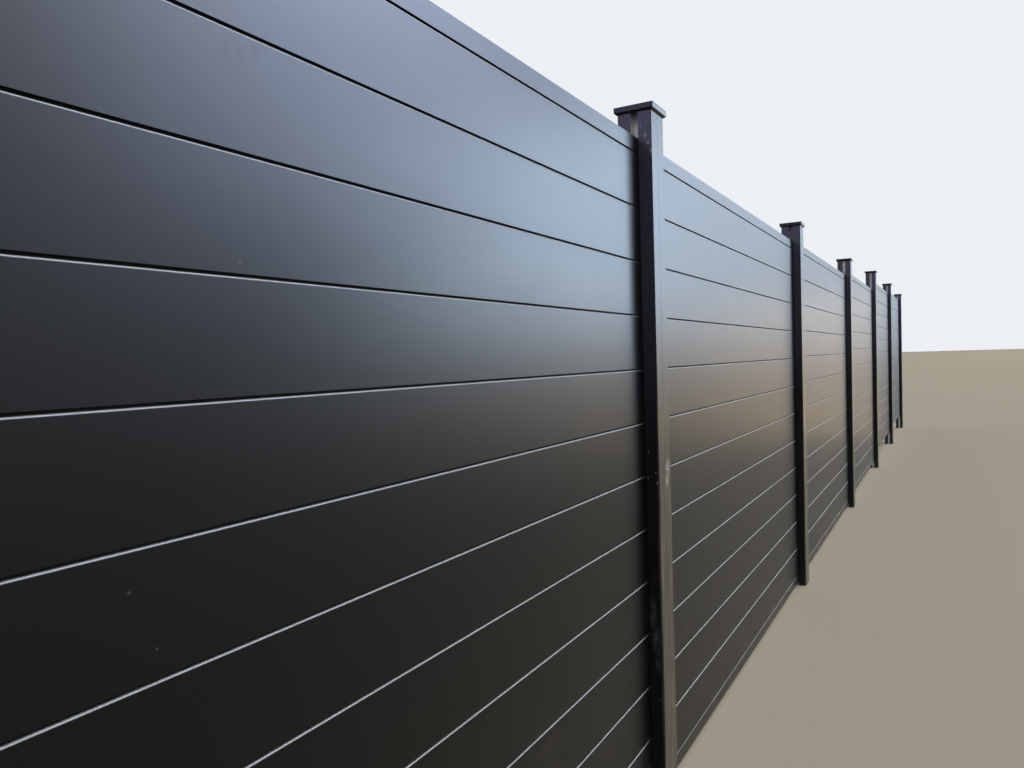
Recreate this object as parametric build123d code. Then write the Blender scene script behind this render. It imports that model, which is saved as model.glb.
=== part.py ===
from build123d import *
import os

# A straight run of black aluminium slat fence: hollow tongue-and-groove planks
# dropped into the slots of square posts, a rail under and over each panel, and
# a flat-topped cap on each post.
# The later bays step up a slope, and every post runs down to the run's lowest level.
# Millimetres. X runs along the fence, its public face looks along -Y, Z is up,
# and the origin is at the foot of the middle post, on its axis.

# The run of bays
BAYS = 6
BAY_PITCH = 2400.0

# How far each later bay stands above the first one, by its number
BAY_RISES = {3: 9.0, 4: 50.0, 5: 155.0, 6: 190.0}

# Planks of one panel
SLATS_PER_BAY = 12
SLAT_PITCH = 152.0
SLAT_THICKNESS = 20.0
SLAT_WALL = 1.6
REVEAL = 4.0
TONGUE_THICKNESS = 10.0
TONGUE_ENTRY = 8.0
TONGUE_FIT = 0.3
SHOULDER_RADIUS = 3.0

# Rails under and over the panel, made as short planks
RAIL_FACE = 42.0
RAIL_WALL = 2.0
RAIL_EDGE_CHAMFER = 1.0
BOTTOM_GAP = 20.0

# Posts
POST_WIDTH = 100.0
POST_WALL = 2.5
POST_CORNER_CHAMFER = 1.2
POST_ABOVE_RAIL = 91.0
SLOT_DEPTH = 16.0
SLOT_FIT = 0.6
PANEL_ENTRY = 13.0
CENTRE_LINE_WIDTH = 1.0
CENTRE_LINE_DEPTH = 0.4

# Post caps
CAP_HEIGHT = 20.0
CAP_OVERHANG = 8.0
CAP_RIM = 2.0
CAP_LIP = 2.3
CAP_PLATE = 3.0
CAP_FIT = 0.4
CAP_EDGE_CHAMFER = 0.8

# Strip left in one post's slot, on the end of the top rail
FILLER_POST = 3
FILLER_HEIGHT = 54.0
FILLER_FIT = 0.3

# Levels of the first bay, and lengths, that follow from the sizes above
BOTTOM_RAIL_Z = BOTTOM_GAP
FIRST_SLAT_Z = BOTTOM_RAIL_Z + RAIL_FACE + REVEAL
TOP_RAIL_Z = FIRST_SLAT_Z + SLATS_PER_BAY * SLAT_PITCH
RAIL_TOP_Z = TOP_RAIL_Z + RAIL_FACE
SLAT_FACE = SLAT_PITCH - REVEAL
TONGUE_HEIGHT = REVEAL + TONGUE_ENTRY
SLOT_WIDTH = SLAT_THICKNESS + 2 * SLOT_FIT
PANEL_LENGTH = BAY_PITCH - POST_WIDTH + 2 * PANEL_ENTRY
CAP_WIDTH = POST_WIDTH + 2 * CAP_OVERHANG
CAP_SOCKET = POST_WIDTH + 2 * CAP_FIT


def post_x(number):
    """X of the axis of post 1, 2, 3 and so on, with the middle post at zero."""
    return (number - 1 - BAYS / 2) * BAY_PITCH


def bay_rise(bay):
    """How far a bay stands above the first one."""
    return BAY_RISES.get(bay, 0.0)


def post_height(number):
    """Height of a post, which tops the higher of the rails beside it."""
    beside = [bay for bay in (number - 1, number) if 1 <= bay <= BAYS]
    return RAIL_TOP_Z + max(bay_rise(bay) for bay in beside) + POST_ABOVE_RAIL


def plank_section(face, wall, tongue=True, groove=True):
    """Section of a hollow plank, seen along X, with the foot of its face at zero.

    face is the height of the flat face. The tongue stands between two rounded
    shoulders, and the groove underneath takes the tongue of the plank below.
    """
    floor = TONGUE_ENTRY + TONGUE_FIT + wall if groove else wall
    crown = SHOULDER_RADIUS if tongue else wall
    bottom = (Align.CENTER, Align.MIN)
    with BuildSketch(Plane.YZ) as section:
        Rectangle(SLAT_THICKNESS, face, align=bottom)
        top_corners = section.vertices().group_by(Axis.Y)[-1]
        if tongue:
            fillet(top_corners, SHOULDER_RADIUS)
            with Locations((0, face)):
                Rectangle(TONGUE_THICKNESS, TONGUE_HEIGHT, align=bottom)
        else:
            chamfer(top_corners, RAIL_EDGE_CHAMFER)
        if groove:
            Rectangle(
                TONGUE_THICKNESS + 2 * TONGUE_FIT,
                TONGUE_ENTRY + TONGUE_FIT,
                align=bottom,
                mode=Mode.SUBTRACT,
            )
        with Locations((0, floor)):
            chamber = face - crown - floor
            Rectangle(SLAT_THICKNESS - 2 * wall, chamber, align=bottom, mode=Mode.SUBTRACT)
            if tongue:
                core = face + TONGUE_HEIGHT - wall - floor
                Rectangle(TONGUE_THICKNESS - 2 * wall, core, align=bottom, mode=Mode.SUBTRACT)
    return section.sketch


def plank(section, z):
    """A panel-long extrusion of a plank section, centred on X, with its foot at z."""
    return extrude(Pos(-PANEL_LENGTH / 2, 0, z) * section, PANEL_LENGTH, dir=(1, 0, 0))


def slat_panel():
    """The planks of one bay, each seated on the tongue of the one below."""
    section = plank_section(SLAT_FACE, SLAT_WALL)
    levels = [FIRST_SLAT_Z + row * SLAT_PITCH for row in range(SLATS_PER_BAY)]
    return Compound([plank(section, z) for z in levels])


def bottom_rail():
    """The rail that carries the planks on its tongue."""
    return plank(plank_section(RAIL_FACE, RAIL_WALL, groove=False), BOTTOM_RAIL_Z)


def top_rail():
    """The rail that closes the panel over the last tongue."""
    return plank(plank_section(RAIL_FACE, RAIL_WALL, tongue=False), TOP_RAIL_Z)


def post(height):
    """Hollow post with a panel slot on both sides and a fine line down both faces."""
    half = POST_WIDTH / 2
    inner = POST_WIDTH - 2 * POST_WALL
    channel_width = SLOT_WIDTH + 2 * POST_WALL
    channel_depth = SLOT_DEPTH + POST_WALL
    with BuildSketch() as section:
        Rectangle(POST_WIDTH, POST_WIDTH)
        chamfer(section.vertices(), POST_CORNER_CHAMFER)
        Rectangle(inner, inner, mode=Mode.SUBTRACT)
        with Locations((-half + channel_depth / 2, 0), (half - channel_depth / 2, 0)):
            Rectangle(channel_depth, channel_width)
        with Locations((-half + SLOT_DEPTH / 2, 0), (half - SLOT_DEPTH / 2, 0)):
            Rectangle(SLOT_DEPTH, SLOT_WIDTH, mode=Mode.SUBTRACT)
        Rectangle(POST_WALL, inner)
        with Locations((0, -half), (0, half)):
            Rectangle(CENTRE_LINE_WIDTH, 2 * CENTRE_LINE_DEPTH, mode=Mode.SUBTRACT)
    return extrude(section.sketch, height)


def post_cap():
    """Flat lid on a post's head, which is at zero: its sides lean in from a rim to a lip."""
    foot = CAP_PLATE - CAP_HEIGHT
    lean_in = (CAP_WIDTH - CAP_SOCKET) / 2 - CAP_LIP
    with BuildPart() as piece:
        with BuildSketch(Plane.XY.offset(foot)):
            Rectangle(CAP_WIDTH, CAP_WIDTH)
        extrude(amount=CAP_HEIGHT)
        underside = piece.faces().sort_by(Axis.Z)[0]
        chamfer(underside.edges(), lean_in, CAP_HEIGHT - CAP_RIM, reference=underside)
        chamfer(piece.faces().sort_by(Axis.Z)[-1].edges(), CAP_EDGE_CHAMFER)
        with BuildSketch(Plane.XY.offset(foot)):
            Rectangle(CAP_SOCKET, CAP_SOCKET)
        extrude(amount=CAP_HEIGHT - CAP_PLATE, mode=Mode.SUBTRACT)
    return piece.part


def slot_filler():
    """Strip that stands in a post's slot on the end of the top rail."""
    width = SLOT_WIDTH - 2 * FILLER_FIT
    strip = Box(PANEL_ENTRY, width, FILLER_HEIGHT, align=(Align.MIN, Align.CENTER, Align.MIN))
    rail_top = RAIL_TOP_Z + bay_rise(FILLER_POST - 1)
    return Pos(-POST_WIDTH / 2, 0, rail_top) * strip


os.makedirs("parts", exist_ok=True)

cap_shape = post_cap()
for number in range(1, BAYS + 2):
    height = post_height(number)
    export_step(Pos(post_x(number), 0, 0) * post(height), f"parts/post_{number}.step")
    export_step(Pos(post_x(number), 0, height) * cap_shape, f"parts/post_cap_{number}.step")

panel_shape = slat_panel()
top_rail_shape = top_rail()
bottom_rail_shape = bottom_rail()
for bay in range(1, BAYS + 1):
    place = Pos(post_x(bay) + BAY_PITCH / 2, 0, bay_rise(bay))
    export_step(place * panel_shape, f"parts/slat_panel_{bay}.step")
    export_step(place * top_rail_shape, f"parts/top_rail_{bay}.step")
    export_step(place * bottom_rail_shape, f"parts/bottom_rail_{bay}.step")

filler_place = Pos(post_x(FILLER_POST), 0, 0)
export_step(filler_place * slot_filler(), "parts/slot_filler.step")
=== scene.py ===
"""Looks of a straight run of black aluminium slat fence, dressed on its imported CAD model.

Hollow tongue-and-groove planks stand in the slots of square posts, with a rail under
and over each panel and a flat cap on each post. The posts, planks, rails and filler are
CAD nodes that keep their own mesh. The caps are modelled here, with an upright fascia,
and stand for the plainer ones. This script gives each piece its finish, and sets the
studio and the camera round them. Lengths are in metres, in the frame of the CAD model:
X runs along the fence, the public face looks along -Y, and Z is up from the foot of the posts.
"""

import logging
import math
from dataclasses import dataclass
from enum import Enum
from typing import Callable, Union

import bpy
from mathutils import Matrix, Vector

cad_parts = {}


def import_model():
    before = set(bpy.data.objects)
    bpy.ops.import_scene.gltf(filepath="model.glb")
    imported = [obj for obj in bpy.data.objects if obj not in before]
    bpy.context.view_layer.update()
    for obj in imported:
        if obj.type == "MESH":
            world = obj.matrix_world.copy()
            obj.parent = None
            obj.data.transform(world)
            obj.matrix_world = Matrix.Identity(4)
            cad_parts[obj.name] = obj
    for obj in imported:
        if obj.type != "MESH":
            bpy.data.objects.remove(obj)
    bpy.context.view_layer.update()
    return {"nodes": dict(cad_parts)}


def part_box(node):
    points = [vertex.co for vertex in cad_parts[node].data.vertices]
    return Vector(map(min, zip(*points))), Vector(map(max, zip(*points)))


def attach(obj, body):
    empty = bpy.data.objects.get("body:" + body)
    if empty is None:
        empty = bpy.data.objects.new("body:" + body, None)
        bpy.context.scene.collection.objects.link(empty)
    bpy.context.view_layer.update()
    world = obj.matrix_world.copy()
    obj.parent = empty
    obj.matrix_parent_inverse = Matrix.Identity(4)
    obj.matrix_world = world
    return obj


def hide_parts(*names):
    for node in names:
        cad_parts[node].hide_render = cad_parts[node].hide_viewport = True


log = logging.getLogger("slat_fence")

Colour = tuple[float, float, float]
Point = tuple[float, float, float]
Span = tuple[float, float]
Marks = tuple[tuple[Point, Point], ...]

BAY_PITCH = 2.4
SLAT_FRONT_Y = -0.010
POST_FRONT_Y = -0.050
SCUFFED_SIDE_X = -4.850
LEVEL_TOLERANCE = 1e-5


class Slot(Enum):
    """The material slots by name; each dressing carries one, though nothing in the script applies
    it.
    """

    SLATS = "slat_coat"
    RAILS = "rail_coat"
    POSTS = "post_coat"
    CAPS = "cap_coat"
    FILLER = "filler_coat"


class Value:
    """A number on its way through a finish, which Python's operators carry on."""

    def __init__(self, tree: "FinishTree", socket: bpy.types.NodeSocket) -> None:
        """Wrap the output socket of a node in tree."""
        self.tree = tree
        self.socket = socket

    def _maths(self, operation: str, first: "Number", second: "Number") -> "Value":
        """Add the Math node of an operation on two numbers."""
        return self.tree.node("ShaderNodeMath", {"operation": operation}, {0: first, 1: second})

    def __add__(self, other: "Number") -> "Value":
        """Sum of the two."""
        return self._maths("ADD", self, other)

    def __radd__(self, other: "Number") -> "Value":
        """Sum, with the plain number first."""
        return self._maths("ADD", other, self)

    def __sub__(self, other: "Number") -> "Value":
        """Difference of the two."""
        return self._maths("SUBTRACT", self, other)

    def __rsub__(self, other: "Number") -> "Value":
        """Difference, with the plain number first."""
        return self._maths("SUBTRACT", other, self)

    def __mul__(self, other: "Number") -> "Value":
        """Product of the two."""
        return self._maths("MULTIPLY", self, other)

    def __rmul__(self, other: "Number") -> "Value":
        """Product, with the plain number first."""
        return self._maths("MULTIPLY", other, self)

    def __abs__(self) -> "Value":
        """Size without its sign."""
        return self.tree.node("ShaderNodeMath", {"operation": "ABSOLUTE"}, {0: self})

    def __or__(self, other: "Number") -> "Value":
        """The larger of the two, which joins two masks."""
        return self._maths("MAXIMUM", self, other)


Number = Union[float, Value]


class FinishTree:
    """The node tree of one finish, with the few words that the finishes are written in."""

    def __init__(self, name: str) -> None:
        """Start an empty material.

        Args:
            name: the finish's name in the scene.
        """
        self.material = bpy.data.materials.new(name)
        self.material.use_nodes = True
        self.graph = self.material.node_tree
        self.graph.nodes.clear()
        self.place = self.node("ShaderNodeTexCoord", {}, {}, "Object")

    def node(
        self,
        kind: str,
        settings: dict[str, object],
        inputs: dict[Union[str, int], object],
        output: Union[str, int] = 0,
    ) -> Value:
        """Add one node of any kind.

        Args:
            kind: the node's type in Blender.
            settings: its own settings, made before its sockets are filled.
            inputs: numbers, colours or Values for its sockets, by name or index.
            output: the socket that the result leaves by.

        Returns:
            The wrapped output socket.
        """
        made = self.graph.nodes.new(kind)
        for key, setting in settings.items():
            setattr(made, key, setting)
        for key, value in inputs.items():
            if isinstance(value, Value):
                self.graph.links.new(value.socket, made.inputs[key])
            else:
                made.inputs[key].default_value = value
        return Value(self, made.outputs[output])

    def axis(self, letter: str) -> Value:
        """The place along one axis, in metres."""
        return self.node("ShaderNodeSeparateXYZ", {}, {0: self.place}, letter)

    def from_post(self) -> Value:
        """The distance along the run from the axis of the nearest post."""
        half = BAY_PITCH / 2
        offset = {0: self.axis("X"), 1: half, 2: -half}
        return abs(self.node("ShaderNodeMath", {"operation": "WRAP"}, offset))

    def facing(self, letter: str) -> Value:
        """How far the surface looks along one axis, from -1 to 1."""
        normal = self.node("ShaderNodeNewGeometry", {}, {}, "Normal")
        return self.node("ShaderNodeSeparateXYZ", {}, {0: normal}, letter)

    def step(self, value: Number, low: float, high: float) -> Value:
        """A smooth rise from 0 at low to 1 at high, or a fall where low is the larger."""
        return self.node(
            "ShaderNodeMapRange",
            {"interpolation_type": "SMOOTHSTEP"},
            {"Value": value, "From Min": low, "From Max": high, "To Min": 0.0, "To Max": 1.0},
        )

    def noise(self, stretch: Point, detail: float = 2.0, rough: float = 0.5) -> Value:
        """Cloudy variation about 0.5.

        Args:
            stretch: how many clouds there are in a metre, along each axis.
            detail: how many finer layers are added.
            rough: how strong the finer layers are.

        Returns:
            The noise as a number.
        """
        where = self.node(
            "ShaderNodeMapping",
            {"vector_type": "POINT"},
            {"Vector": self.place, "Scale": stretch},
        )
        return self.node(
            "ShaderNodeTexNoise",
            {"noise_dimensions": "3D"},
            {"Vector": where, "Scale": 1.0, "Detail": detail, "Roughness": rough},
            "Fac",
        )

    def spot(self, centre: Point, reach: Point, soft: float = 0.0) -> Value:
        """A rounded mark that is 1 at its centre and 0 past its reach.

        Args:
            centre: the middle of the mark.
            reach: its half size along each axis.
            soft: the share of the reach at which the mark starts to fade.

        Returns:
            The mask of the mark.
        """
        kind = "ShaderNodeVectorMath"
        away = self.node(kind, {"operation": "SUBTRACT"}, {0: self.place, 1: centre})
        scaled = self.node(kind, {"operation": "DIVIDE"}, {0: away, 1: reach})
        length = self.node(kind, {"operation": "LENGTH"}, {0: scaled}, "Value")
        return self.step(length, 1.0, soft)

    def marks(self, places: Marks, soft: float) -> Value:
        """Several rounded marks as one mask.

        Args:
            places: the centre and reach of each mark.
            soft: the share of the reach at which a mark starts to fade.

        Returns:
            The mask of all the marks.
        """
        mask: Number = 0.0
        for centre, reach in places:
            spot = self.spot(centre, reach, soft)
            mask = spot | mask
        return mask

    def blend(self, mask: Number, first: object, second: object) -> Value:
        """A colour between first, where the mask is 0, and second, where it is 1."""
        colours = [(*c, 1.0) if isinstance(c, tuple) else c for c in (first, second)]
        return self.node(
            "ShaderNodeMix",
            {"data_type": "RGBA", "blend_type": "MIX", "clamp_factor": True},
            {0: mask, 6: colours[0], 7: colours[1]},
            2,
        )

    def relief(self, height: Number, depth: float) -> Value:
        """A normal that follows a height map of the given depth in metres."""
        bump = {"Strength": 1.0, "Distance": depth, "Height": height}
        return self.node("ShaderNodeBump", {}, bump)

    def close(self, sockets: dict[str, object]) -> bpy.types.Material:
        """Finish the material with its surface.

        Args:
            sockets: values of the surface shader's sockets, by name.

        Returns:
            The finished material.
        """
        surface = self.node("ShaderNodeBsdfPrincipled", {}, sockets)
        output = self.graph.nodes.new("ShaderNodeOutputMaterial")
        self.graph.links.new(surface.socket, output.inputs["Surface"])
        return self.material


@dataclass(frozen=True)
class SatinCoat:
    """The fine black powder coat that planks, rails, posts and caps share."""

    black: Colour = (0.0010, 0.0011, 0.0013)
    gloss_roughness: float = 0.33
    refraction: float = 1.35
    grain_per_metre: float = 900.0
    grain_depth: float = 0.00002

    def satin(self, clouds: Value, spread: float) -> Value:
        """The coat's roughness, varied by clouds about 0.5."""
        return self.gloss_roughness + (clouds - 0.5) * spread

    def coat(self, tree: FinishTree, colour: Value, roughness: Value) -> bpy.types.Material:
        """Close a finish with this coat's gloss and grain.

        Args:
            tree: the finish's node tree.
            colour: its colour.
            roughness: its roughness.

        Returns:
            The finished material.
        """
        grain = tree.noise((self.grain_per_metre,) * 3, 1.0)
        return tree.close(
            {
                "Base Color": colour,
                "Roughness": roughness,
                "IOR": self.refraction,
                "Normal": tree.relief(grain, self.grain_depth),
            }
        )


@dataclass(frozen=True)
class SlatCoat(SatinCoat):
    """Satin coat on the planks, with a painted highlight on their shoulders that painted shade
    fades near the posts, and dull in the reveals.
    """

    name: str = "slat_satin_black"
    dust: Colour = (0.060, 0.050, 0.040)
    # painted highlight: pale colour put on the upward shoulders in place of their sky reflection
    shoulder_highlight: Colour = (0.196, 0.200, 0.205)
    dull_roughness: float = 0.9
    smudge_roughness: float = 0.05
    smudge_soft: float = 0.2
    speck_soft: float = 0.2
    rub_soft: float = 0.0
    rub_share: float = 0.4
    dust_share: float = 0.35
    dust_level: Span = (0.9, 0.05)
    tongue_side: Span = (0.0064, 0.0056)
    shoulder_lean: Span = (0.10, 0.60)
    # painted shade near the posts: the span over which the shoulder highlight fades
    post_shade: Span = (0.055, 0.115)
    shaded_share: float = 0.15
    smudges: Marks = (
        ((-6.264, SLAT_FRONT_Y, 1.704), (0.010, 0.02, 0.014)),
        ((-6.2415, SLAT_FRONT_Y, 1.7054), (0.010, 0.02, 0.015)),
        ((-6.2191, SLAT_FRONT_Y, 1.7165), (0.009, 0.02, 0.013)),
        ((-6.3685, SLAT_FRONT_Y, 1.5514), (0.012, 0.02, 0.016)),
        ((-6.3491, SLAT_FRONT_Y, 1.5444), (0.011, 0.02, 0.014)),
        ((-6.3253, SLAT_FRONT_Y, 1.5584), (0.010, 0.02, 0.013)),
    )
    specks: Marks = (
        ((-4.5065, SLAT_FRONT_Y, 0.956), (0.006, 0.02, 0.006)),
        ((-6.2544, SLAT_FRONT_Y, 1.4483), (0.0028, 0.02, 0.0028)),
        ((-6.4182, SLAT_FRONT_Y, 1.0811), (0.0028, 0.02, 0.0028)),
        ((-6.3888, SLAT_FRONT_Y, 1.0104), (0.0028, 0.02, 0.0028)),
    )
    rubs: Marks = (
        ((-6.2484, SLAT_FRONT_Y, 1.1054), (0.045, 0.02, 0.020)),
        ((-6.5225, SLAT_FRONT_Y, 0.9937), (0.030, 0.02, 0.016)),
        ((-6.3606, SLAT_FRONT_Y, 0.8690), (0.030, 0.02, 0.016)),
    )

    def build(self) -> bpy.types.Material:
        """Make the coat's material."""
        tree = FinishTree(self.name)
        low = tree.step(tree.axis("Z"), *self.dust_level)
        patches = tree.step(tree.noise((5.0, 5.0, 16.0), 5.0, 0.65), 0.50, 0.75)
        rubbed = tree.marks(self.rubs, self.rub_soft) * patches * self.rub_share
        worn = tree.marks(self.specks, self.speck_soft) | rubbed
        colour = tree.blend(low * patches * self.dust_share | worn, self.black, self.dust)
        tongue = tree.step(abs(tree.axis("Y")), *self.tongue_side)
        # painted shade: the shoulder highlight drops to a share of itself next to each post
        clear = tree.step(tree.from_post(), *self.post_shade)
        clear = clear * (1.0 - self.shaded_share) + self.shaded_share
        # painted highlight on the shoulders, kept out of the reveals and faded by the painted
        # shade near the posts
        painted_highlight = tree.step(tree.facing("Z"), *self.shoulder_lean) * (1.0 - tongue) * clear
        satin = self.satin(tree.noise((3.0, 3.0, 9.0), 4.0, 0.55), 0.05)
        smudged = tree.marks(self.smudges, self.smudge_soft) * self.smudge_roughness
        dull = (self.dull_roughness - self.gloss_roughness) * tongue
        return self.coat(tree, tree.blend(painted_highlight, colour, self.shoulder_highlight), satin + smudged + dull)


@dataclass(frozen=True)
class RailCoat(SatinCoat):
    """Satin coat on the rails, with dust on the low ones."""

    name: str = "rail_satin_black"
    dust: Colour = (0.085, 0.070, 0.055)
    dust_share: float = 0.5
    dust_level: Span = (1.2, 1.0)

    def build(self) -> bpy.types.Material:
        """Make the coat's material."""
        tree = FinishTree(self.name)
        low = tree.step(tree.axis("Z"), *self.dust_level)
        patches = tree.step(tree.noise((14.0, 14.0, 40.0), 5.0, 0.65), 0.40, 0.70)
        colour = tree.blend(low * patches * self.dust_share, self.black, self.dust)
        return self.coat(tree, colour, self.satin(tree.noise((4.0, 4.0, 4.0), 3.0), 0.06))


@dataclass(frozen=True)
class PostCoat(SatinCoat):
    """Satin coat on the posts, with painted light in the slots, painted shade at two slots' heads,
    a painted sheen on the side faces, and dust streaked low down.
    """

    name: str = "post_satin_black"
    dust: Colour = (0.21, 0.187, 0.145)
    # painted light: pale colour put inside the slots where light shows
    slot_light: Colour = (0.80, 0.78, 0.75)
    # painted sheen: bluish colour on the posts' side faces in place of their reflection
    side_sheen: Colour = (0.041, 0.043, 0.072)
    scuff: Colour = (0.42, 0.42, 0.41)
    haze: Colour = (0.085, 0.083, 0.095)
    even_dust_share: float = 0.25
    low_sheen_share: float = 0.15
    dust_level: Span = (1.4, 0.75)
    face_edge: Span = (0.040, 0.0495)
    slot_side: Span = (0.0112, 0.0108)
    slot_mouth: Span = (0.0496, 0.0488)
    sheen_level: Span = (1.0, 1.6)
    scuff_soft: float = 0.1
    haze_soft: float = 0.0
    scuffs: Marks = (
        ((SCUFFED_SIDE_X, -0.031, 1.937), (0.004, 0.006, 0.011)),
        ((SCUFFED_SIDE_X, -0.040, 1.915), (0.004, 0.006, 0.009)),
        ((SCUFFED_SIDE_X, -0.047, 1.893), (0.004, 0.005, 0.014)),
        ((SCUFFED_SIDE_X, -0.017, 1.967), (0.004, 0.004, 0.007)),
        ((SCUFFED_SIDE_X, -0.016, 0.969), (0.004, 0.003, 0.005)),
        ((SCUFFED_SIDE_X, -0.020, 1.045), (0.004, 0.003, 0.006)),
        ((SCUFFED_SIDE_X, -0.040, 0.985), (0.004, 0.003, 0.006)),
        ((SCUFFED_SIDE_X, -0.044, 0.955), (0.004, 0.003, 0.012)),
        ((SCUFFED_SIDE_X, -0.039, 0.330), (0.004, 0.003, 0.004)),
        ((-4.776, POST_FRONT_Y, 0.990), (0.026, 0.004, 0.036)),
        ((-4.785, POST_FRONT_Y, 0.952), (0.020, 0.004, 0.026)),
    )
    hazes: Marks = (
        ((SCUFFED_SIDE_X, -0.022, 0.575), (0.004, 0.016, 0.060)),
        ((SCUFFED_SIDE_X, -0.030, 0.510), (0.004, 0.018, 0.055)),
        ((SCUFFED_SIDE_X, -0.036, 0.445), (0.004, 0.014, 0.050)),
    )

    def build(self) -> bpy.types.Material:
        """Make the coat's material."""
        tree = FinishTree(self.name)
        # painted sheen on the side faces
        colour = tree.blend(self.painted_side_sheen(tree), self.black, self.side_sheen)
        colour = tree.blend(self.dusted(tree), colour, self.dust)
        clouding = tree.step(tree.noise((60.0, 60.0, 30.0), 4.0, 0.6), 0.30, 0.65)
        colour = tree.blend(tree.marks(self.hazes, self.haze_soft) * clouding, colour, self.haze)
        speckle = tree.step(tree.noise((350.0, 350.0, 220.0), 4.0, 0.7), 0.35, 0.65)
        colour = tree.blend(tree.marks(self.scuffs, self.scuff_soft) * speckle, colour, self.scuff)
        # painted light in the slots
        colour = tree.blend(self.painted_slot_light(tree), colour, self.slot_light)
        return self.coat(tree, colour, self.satin(tree.noise((9.0, 9.0, 5.0), 4.0), 0.08))

    def painted_side_sheen(self, tree: FinishTree) -> Value:
        """Mask of the painted sheen on the side faces, which is weaker low down."""
        side = tree.step(abs(tree.facing("X")), 0.5, 0.9)
        high = tree.step(tree.axis("Z"), *self.sheen_level)
        return side * (high * (1.0 - self.low_sheen_share) + self.low_sheen_share)

    def dusted(self, tree: FinishTree) -> Value:
        """Mask of the streaked dust low on the faces."""
        streaks = tree.step(tree.noise((160.0, 160.0, 5.0), 4.0, 0.6), 0.45, 0.75)
        streaked = streaks * (1.0 - self.even_dust_share) + self.even_dust_share
        low = tree.step(tree.axis("Z"), *self.dust_level)
        return streaked * low * tree.step(abs(tree.axis("Y")), *self.face_edge)

    def painted_slot_light(self, tree: FinishTree) -> Value:
        """Mask of the painted light in the slots, cut back by painted shade at two slots' heads.
        """
        in_slot = tree.step(abs(tree.axis("Y")), *self.slot_side)
        in_slot = in_slot * tree.step(tree.from_post(), *self.slot_mouth)
        clouds = tree.step(tree.noise((30.0, 30.0, 60.0), 4.0, 0.6), 0.20, 0.60)
        # painted shade under one post's cap and in the hole above the filler strip
        shade_under_cap = tree.spot((SCUFFED_SIDE_X + 0.010, 0.0, 2.012), (0.030, 0.020, 0.052), 0.4)
        shade_over_filler = tree.spot((-2.440, 0.0, 2.005), (0.030, 0.020, 0.060), 0.6)
        lit_slot = in_slot * (clouds * 0.5 + 0.5)
        return lit_slot * (1.0 - shade_under_cap * 0.93) * (1.0 - shade_over_filler * 0.97)


@dataclass(frozen=True)
class CapCoat(SatinCoat):
    """Satin coat on the post caps, with dust settled on their tops."""

    name: str = "cap_satin_black"
    dust: Colour = (0.10, 0.095, 0.085)
    dust_share: float = 0.4
    top_lean: Span = (0.97, 0.999)

    def build(self) -> bpy.types.Material:
        """Make the coat's material."""
        tree = FinishTree(self.name)
        top = tree.step(tree.facing("Z"), *self.top_lean)
        settled = tree.step(tree.noise((40.0, 40.0, 40.0), 5.0, 0.6), 0.45, 0.75)
        colour = tree.blend(top * settled * self.dust_share, self.black, self.dust)
        return self.coat(tree, colour, self.satin(tree.noise((25.0,) * 3, 3.0), 0.08))


@dataclass(frozen=True)
class FillerCoat:
    """Dull dark face of the strip that stands in one post's slot."""

    name: str = "filler_dull_black"
    face: Colour = (0.020, 0.020, 0.022)
    worn: Colour = (0.045, 0.044, 0.043)
    roughness: float = 0.55
    pitting_depth: float = 0.0001

    def build(self) -> bpy.types.Material:
        """Make the strip's material."""
        tree = FinishTree(self.name)
        patches = tree.step(tree.noise((90.0,) * 3, 4.0, 0.6), 0.35, 0.75)
        return tree.close(
            {
                "Base Color": tree.blend(patches, self.face, self.worn),
                "Roughness": self.roughness,
                "Normal": tree.relief(tree.noise((400.0,) * 3, 2.0), self.pitting_depth),
            }
        )


Finish = Union[SlatCoat, RailCoat, PostCoat, CapCoat, FillerCoat]


@dataclass
class Dressing:
    """Gives the CAD nodes of one kind their finish."""

    slot: Slot
    prefixes: tuple[str, ...]
    finish: Finish

    def build(self, nodes: dict[str, bpy.types.Object]) -> None:
        """Dress each node whose name starts with one of the prefixes.

        Args:
            nodes: the frame's node objects by name.
        """
        material = self.finish.build()
        for name, piece in sorted(nodes.items()):
            kind = name.rstrip("0123456789").rstrip("_")
            if kind in self.prefixes:
                self.dress(piece, material)

    def dress(self, piece: bpy.types.Object, material: bpy.types.Material) -> None:
        """Put the material in every slot of one node."""
        if not piece.material_slots:
            piece.data.materials.append(material)
        for place in piece.material_slots:
            place.material = material
        log.info("%s dressed with %s", piece.name, material.name)


def pick_faces(piece: bpy.types.Object, wanted: Callable[[bpy.types.MeshPolygon], bool]) -> None:
    """Select some faces of the piece that is being edited, and nothing else.

    Args:
        piece: the piece in edit mode.
        wanted: tells from a face whether to select it.
    """
    bpy.ops.mesh.select_mode(type="FACE")
    bpy.ops.mesh.select_all(action="DESELECT")
    bpy.ops.object.mode_set(mode="OBJECT")
    for face in piece.data.polygons:
        face.select = wanted(face)
    bpy.ops.object.mode_set(mode="EDIT")


def pick_level(piece: bpy.types.Object, level: float) -> None:
    """Select the ring of edges at one height of the piece that is being edited.

    Args:
        piece: the piece in edit mode.
        level: the height of the ring.
    """
    bpy.ops.mesh.select_mode(type="EDGE")
    bpy.ops.mesh.select_all(action="DESELECT")
    bpy.ops.object.mode_set(mode="OBJECT")
    corners = piece.data.vertices
    for edge in piece.data.edges:
        edge.select = all(abs(corners[i].co.z - level) < LEVEL_TOLERANCE for i in edge.vertices)
    bpy.ops.object.mode_set(mode="EDIT")


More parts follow.
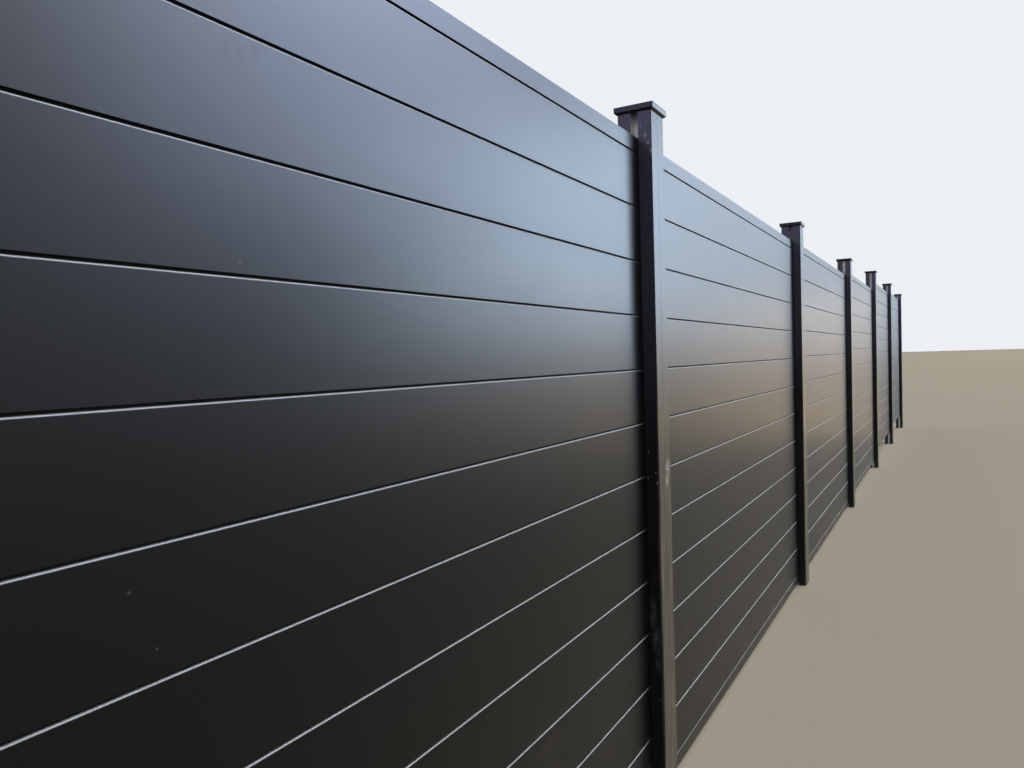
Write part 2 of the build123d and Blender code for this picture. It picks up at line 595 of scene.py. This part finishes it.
@dataclass
class PostCap:
    """Flat lid on a post's head, with an upright fascia that leans in to a lip below."""

    fascia: float = 0.0155
    lip: float = 0.0023
    socket: float = 0.1008
    plate: float = 0.0030
    top_round: float = 0.0008
    fascia_round: float = 0.0010
    round_segments: int = 3
    smooth_angle: float = 10.0

    def build(self, nodes: dict[str, bpy.types.Object]) -> None:
        """Model one cap and stand a copy of it for each plain one.

        Args:
            nodes: the frame's node objects by name.
        """
        names = sorted(name for name in nodes if name.startswith("post_cap_"))
        material = nodes[names[0]].material_slots[0].material
        start = Vector(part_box(names[0])[0])
        pattern = self.model(*(Vector(corner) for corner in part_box(names[0])))
        for name in names:
            mesh = pattern.data.copy()
            mesh.transform(Matrix.Translation(Vector(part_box(name)[0]) - start))
            mesh.materials.append(material)
            piece = bpy.data.objects.new("shaped_" + name, mesh)
            bpy.context.scene.collection.objects.link(piece)
            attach(piece, "root")
            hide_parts(name)
            log.info("%s modelled", piece.name)
        bpy.data.objects.remove(pattern)

    def model(self, low: Vector, high: Vector) -> bpy.types.Object:
        """Shape a cap between two corners of its box.

        Args:
            low: the box's lowest corner.
            high: its highest corner.

        Returns:
            The cap's object, with its place in its mesh.
        """
        size, middle = high - low, (high + low) / 2
        bpy.ops.mesh.primitive_cube_add(size=1.0, location=middle, scale=size)
        cap = bpy.context.object
        bpy.ops.object.transform_apply(location=True, rotation=True, scale=True)
        bpy.ops.object.mode_set(mode="EDIT")
        bpy.ops.mesh.select_all(action="SELECT")
        fascia_foot = high.z - self.fascia
        bpy.ops.mesh.bisect(plane_co=(middle.x, middle.y, fascia_foot), plane_no=(0.0, 0.0, 1.0))
        pick_faces(cap, lambda face: face.normal.z < -0.9)
        narrow = (self.socket + 2 * self.lip) / size.x
        bpy.ops.transform.resize(value=(narrow, narrow, 1.0), center_override=middle)
        bpy.ops.mesh.inset(thickness=self.lip)
        bpy.ops.mesh.extrude_region_move(
            TRANSFORM_OT_translate={"value": (0.0, 0.0, size.z - self.plate)}
        )
        pick_level(cap, fascia_foot)
        bpy.ops.mesh.bevel(offset=self.fascia_round, segments=self.round_segments, affect="EDGES")
        pick_level(cap, high.z)
        bpy.ops.mesh.bevel(offset=self.top_round, segments=self.round_segments, affect="EDGES")
        bpy.ops.object.mode_set(mode="OBJECT")
        bpy.ops.object.shade_smooth_by_angle(angle=math.radians(self.smooth_angle))
        bpy.ops.object.select_all(action="DESELECT")
        return cap


def glowing_panel(name: str, width: float, height: float, glow: Colour) -> bpy.types.Object:
    """Make a rectangular lamp of even radiance, out of the camera's sight.

    Args:
        name: the lamp's name in the scene.
        width: its size from side to side.
        height: its size from foot to top.
        glow: its radiance in each colour.

    Returns:
        The lamp's object, still at the origin.
    """
    lamp = bpy.data.lights.new(name, "AREA")
    lamp.shape = "RECTANGLE"
    lamp.size = width
    lamp.size_y = height
    brightest = max(glow)
    lamp.energy = brightest * math.pi * width * height
    lamp.color = [part / brightest for part in glow]
    piece = bpy.data.objects.new(name, lamp)
    bpy.context.scene.collection.objects.link(piece)
    piece.visible_camera = False
    log.info("lamp %s", name)
    return piece


@dataclass(frozen=True)
class StandingBox:
    """A low glowing panel that stands on the floor near the fence, for its gloss alone."""

    name: str
    x: float
    y: float
    width: float
    height: float
    glow: Colour
    aim: Point = (-3.0, 0.0, 0.0)

    def build(self) -> None:
        """Make the lamp, upright and turned to the fence."""
        piece = glowing_panel(self.name, self.width, self.height, self.glow)
        foot = Vector((self.x, self.y, 0.0))
        piece.location = foot + Vector((0.0, 0.0, self.height / 2))
        piece.rotation_euler = (Vector(self.aim) - foot).to_track_quat("-Z", "Y").to_euler()
        piece.visible_diffuse = False


@dataclass(frozen=True)
class SoftBox:
    """A large even lamp far from the fence, given by its direction from there.

    The azimuth turns from +X towards +Y, so the public side has negative ones.
    """

    name: str
    azimuth: float
    elevation: float
    width: float
    height: float
    glow: Colour
    in_gloss: bool = True
    on_matt: bool = True
    distance: float = 400.0
    aim: Point = (-3.0, 0.0, 1.3)

    def build(self) -> None:
        """Make the lamp, out of the camera's sight."""
        turn, rise = math.radians(self.azimuth), math.radians(self.elevation)
        outward = Vector(
            (math.cos(rise) * math.cos(turn), math.cos(rise) * math.sin(turn), math.sin(rise))
        )
        width, height = (
            2 * self.distance * math.tan(math.radians(angle / 2))
            for angle in (self.width, self.height)
        )
        piece = glowing_panel(self.name, width, height, self.glow)
        piece.location = Vector(self.aim) + self.distance * outward
        piece.rotation_euler = (-outward).to_track_quat("-Z", "Y").to_euler()
        piece.visible_glossy = self.in_gloss
        piece.visible_diffuse = self.on_matt


@dataclass(frozen=True)
class Studio:
    """Pale floor, pale surroundings and soft lamps."""

    floor_colour: Colour = (0.335, 0.305, 0.255)
    backdrop: Colour = (0.84, 0.87, 0.90)
    backdrop_level: float = 1.0
    fill_level: float = 0.50
    floor_size: float = 600.0
    lamps: tuple[Union[SoftBox, StandingBox], ...] = (
        SoftBox("front_low", -30.1, 9.6, 19.4, 15.3, (6.32, 8.23, 10.61), on_matt=False),
        SoftBox("front_high", -43.7, 48.7, 25.0, 70.2, (7.09, 8.61, 12.62), on_matt=False),
        SoftBox("overhead", -10.0, 62.0, 100.0, 60.0, (3.9, 4.2, 4.6), on_matt=False),
        SoftBox("back_left", 150.0, 15.0, 60.0, 40.0, (0.90, 0.85, 1.80), on_matt=False),
        SoftBox("back", 80.0, 35.0, 40.0, 30.0, (3.0, 3.2, 3.6), on_matt=False),
        StandingBox("front_warm", 4.23, -3.86, 7.2, 2.2, (0.82, 0.59, 0.33)),
        SoftBox("key", -60.0, 50.0, 60.0, 50.0, (3.50, 3.40, 3.15), in_gloss=False),
    )

    def build(self) -> None:
        """Make the floor, the surroundings and the lamps."""
        self.floor()
        self.surroundings()
        for lamp in self.lamps:
            lamp.build()

    def floor(self) -> None:
        """A flat pale floor under the posts."""
        bpy.ops.mesh.primitive_plane_add(size=self.floor_size, location=(0.0, 0.0, 0.0))
        floor = bpy.context.object
        floor.name = "studio_floor"
        tree = FinishTree("studio_floor_paint")
        paint = {
            "Base Color": (*self.floor_colour, 1.0),
            "Roughness": 1.0,
            "Specular IOR Level": 0.0,
        }
        floor.data.materials.append(tree.close(paint))
        log.info("floor laid")

    def surroundings(self) -> None:
        """Pale surroundings to the camera and in reflections, and a softer fill for the rest."""
        world = bpy.data.worlds.new("studio_surroundings")
        bpy.context.scene.world = world
        world.use_nodes = True
        graph = world.node_tree
        graph.nodes.clear()
        ray = graph.nodes.new("ShaderNodeLightPath")
        seen = graph.nodes.new("ShaderNodeMath")
        seen.operation = "MAXIMUM"
        graph.links.new(ray.outputs["Is Camera Ray"], seen.inputs[0])
        graph.links.new(ray.outputs["Is Glossy Ray"], seen.inputs[1])
        through = graph.nodes.new("ShaderNodeMath")
        through.operation = "MAXIMUM"
        graph.links.new(seen.outputs[0], through.inputs[0])
        graph.links.new(ray.outputs["Is Transmission Ray"], through.inputs[1])
        level = graph.nodes.new("ShaderNodeMapRange")
        level.inputs["To Min"].default_value = self.fill_level
        level.inputs["To Max"].default_value = self.backdrop_level
        graph.links.new(through.outputs[0], level.inputs["Value"])
        glow = graph.nodes.new("ShaderNodeBackground")
        glow.inputs["Color"].default_value = (*self.backdrop, 1.0)
        graph.links.new(level.outputs[0], glow.inputs["Strength"])
        output = graph.nodes.new("ShaderNodeOutputWorld")
        graph.links.new(glow.outputs[0], output.inputs["Surface"])
        log.info("surroundings set")


@dataclass(frozen=True)
class Viewpoint:
    """Where the camera stands, close to the second bay and looking along the run."""

    place: Point = (-6.899, -0.7703, 1.3174)
    heading: float = 30.251
    pitch: float = -1.827
    roll: float = 1.684
    lens: float = 26.568
    sensor: float = 36.0
    far_clip: float = 1000.0

    def build(self) -> None:
        """Make the camera and set it as the scene's own."""
        lens = bpy.data.cameras.new("camera")
        lens.lens = self.lens
        lens.sensor_width = self.sensor
        lens.clip_end = self.far_clip
        camera = bpy.data.objects.new("camera", lens)
        bpy.context.scene.collection.objects.link(camera)
        turn, rise, tilt = (math.radians(a) for a in (self.heading, self.pitch, self.roll))
        ahead = Vector(
            (math.cos(turn) * math.cos(rise), math.sin(turn) * math.cos(rise), math.sin(rise))
        )
        right = ahead.cross(Vector((0.0, 0.0, 1.0))).normalized()
        down = ahead.cross(right)
        level_right = math.cos(tilt) * right + math.sin(tilt) * down
        level_down = math.cos(tilt) * down - math.sin(tilt) * right
        axes = Matrix((level_right, -level_down, -ahead)).transposed()
        camera.matrix_world = Matrix.Translation(self.place) @ axes.to_4x4()
        bpy.context.scene.camera = camera
        log.info("camera set")


def main() -> None:
    """Dress the frame and set the studio round it, in order."""
    logging.basicConfig(level=logging.INFO, format="%(name)s: %(message)s")
    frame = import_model()
    bpy.ops.object.select_all(action="DESELECT")
    for dressing in (
        Dressing(Slot.SLATS, ("slat_panel",), SlatCoat()),
        Dressing(Slot.RAILS, ("top_rail", "bottom_rail"), RailCoat()),
        Dressing(Slot.POSTS, ("post",), PostCoat()),
        Dressing(Slot.CAPS, ("post_cap",), CapCoat()),
        Dressing(Slot.FILLER, ("slot_filler",), FillerCoat()),
    ):
        dressing.build(frame["nodes"])
    PostCap().build(frame["nodes"])
    Studio().build()
    Viewpoint().build()
    bpy.context.scene.view_settings.view_transform = "Standard"


if __name__ == "__main__":
    main()
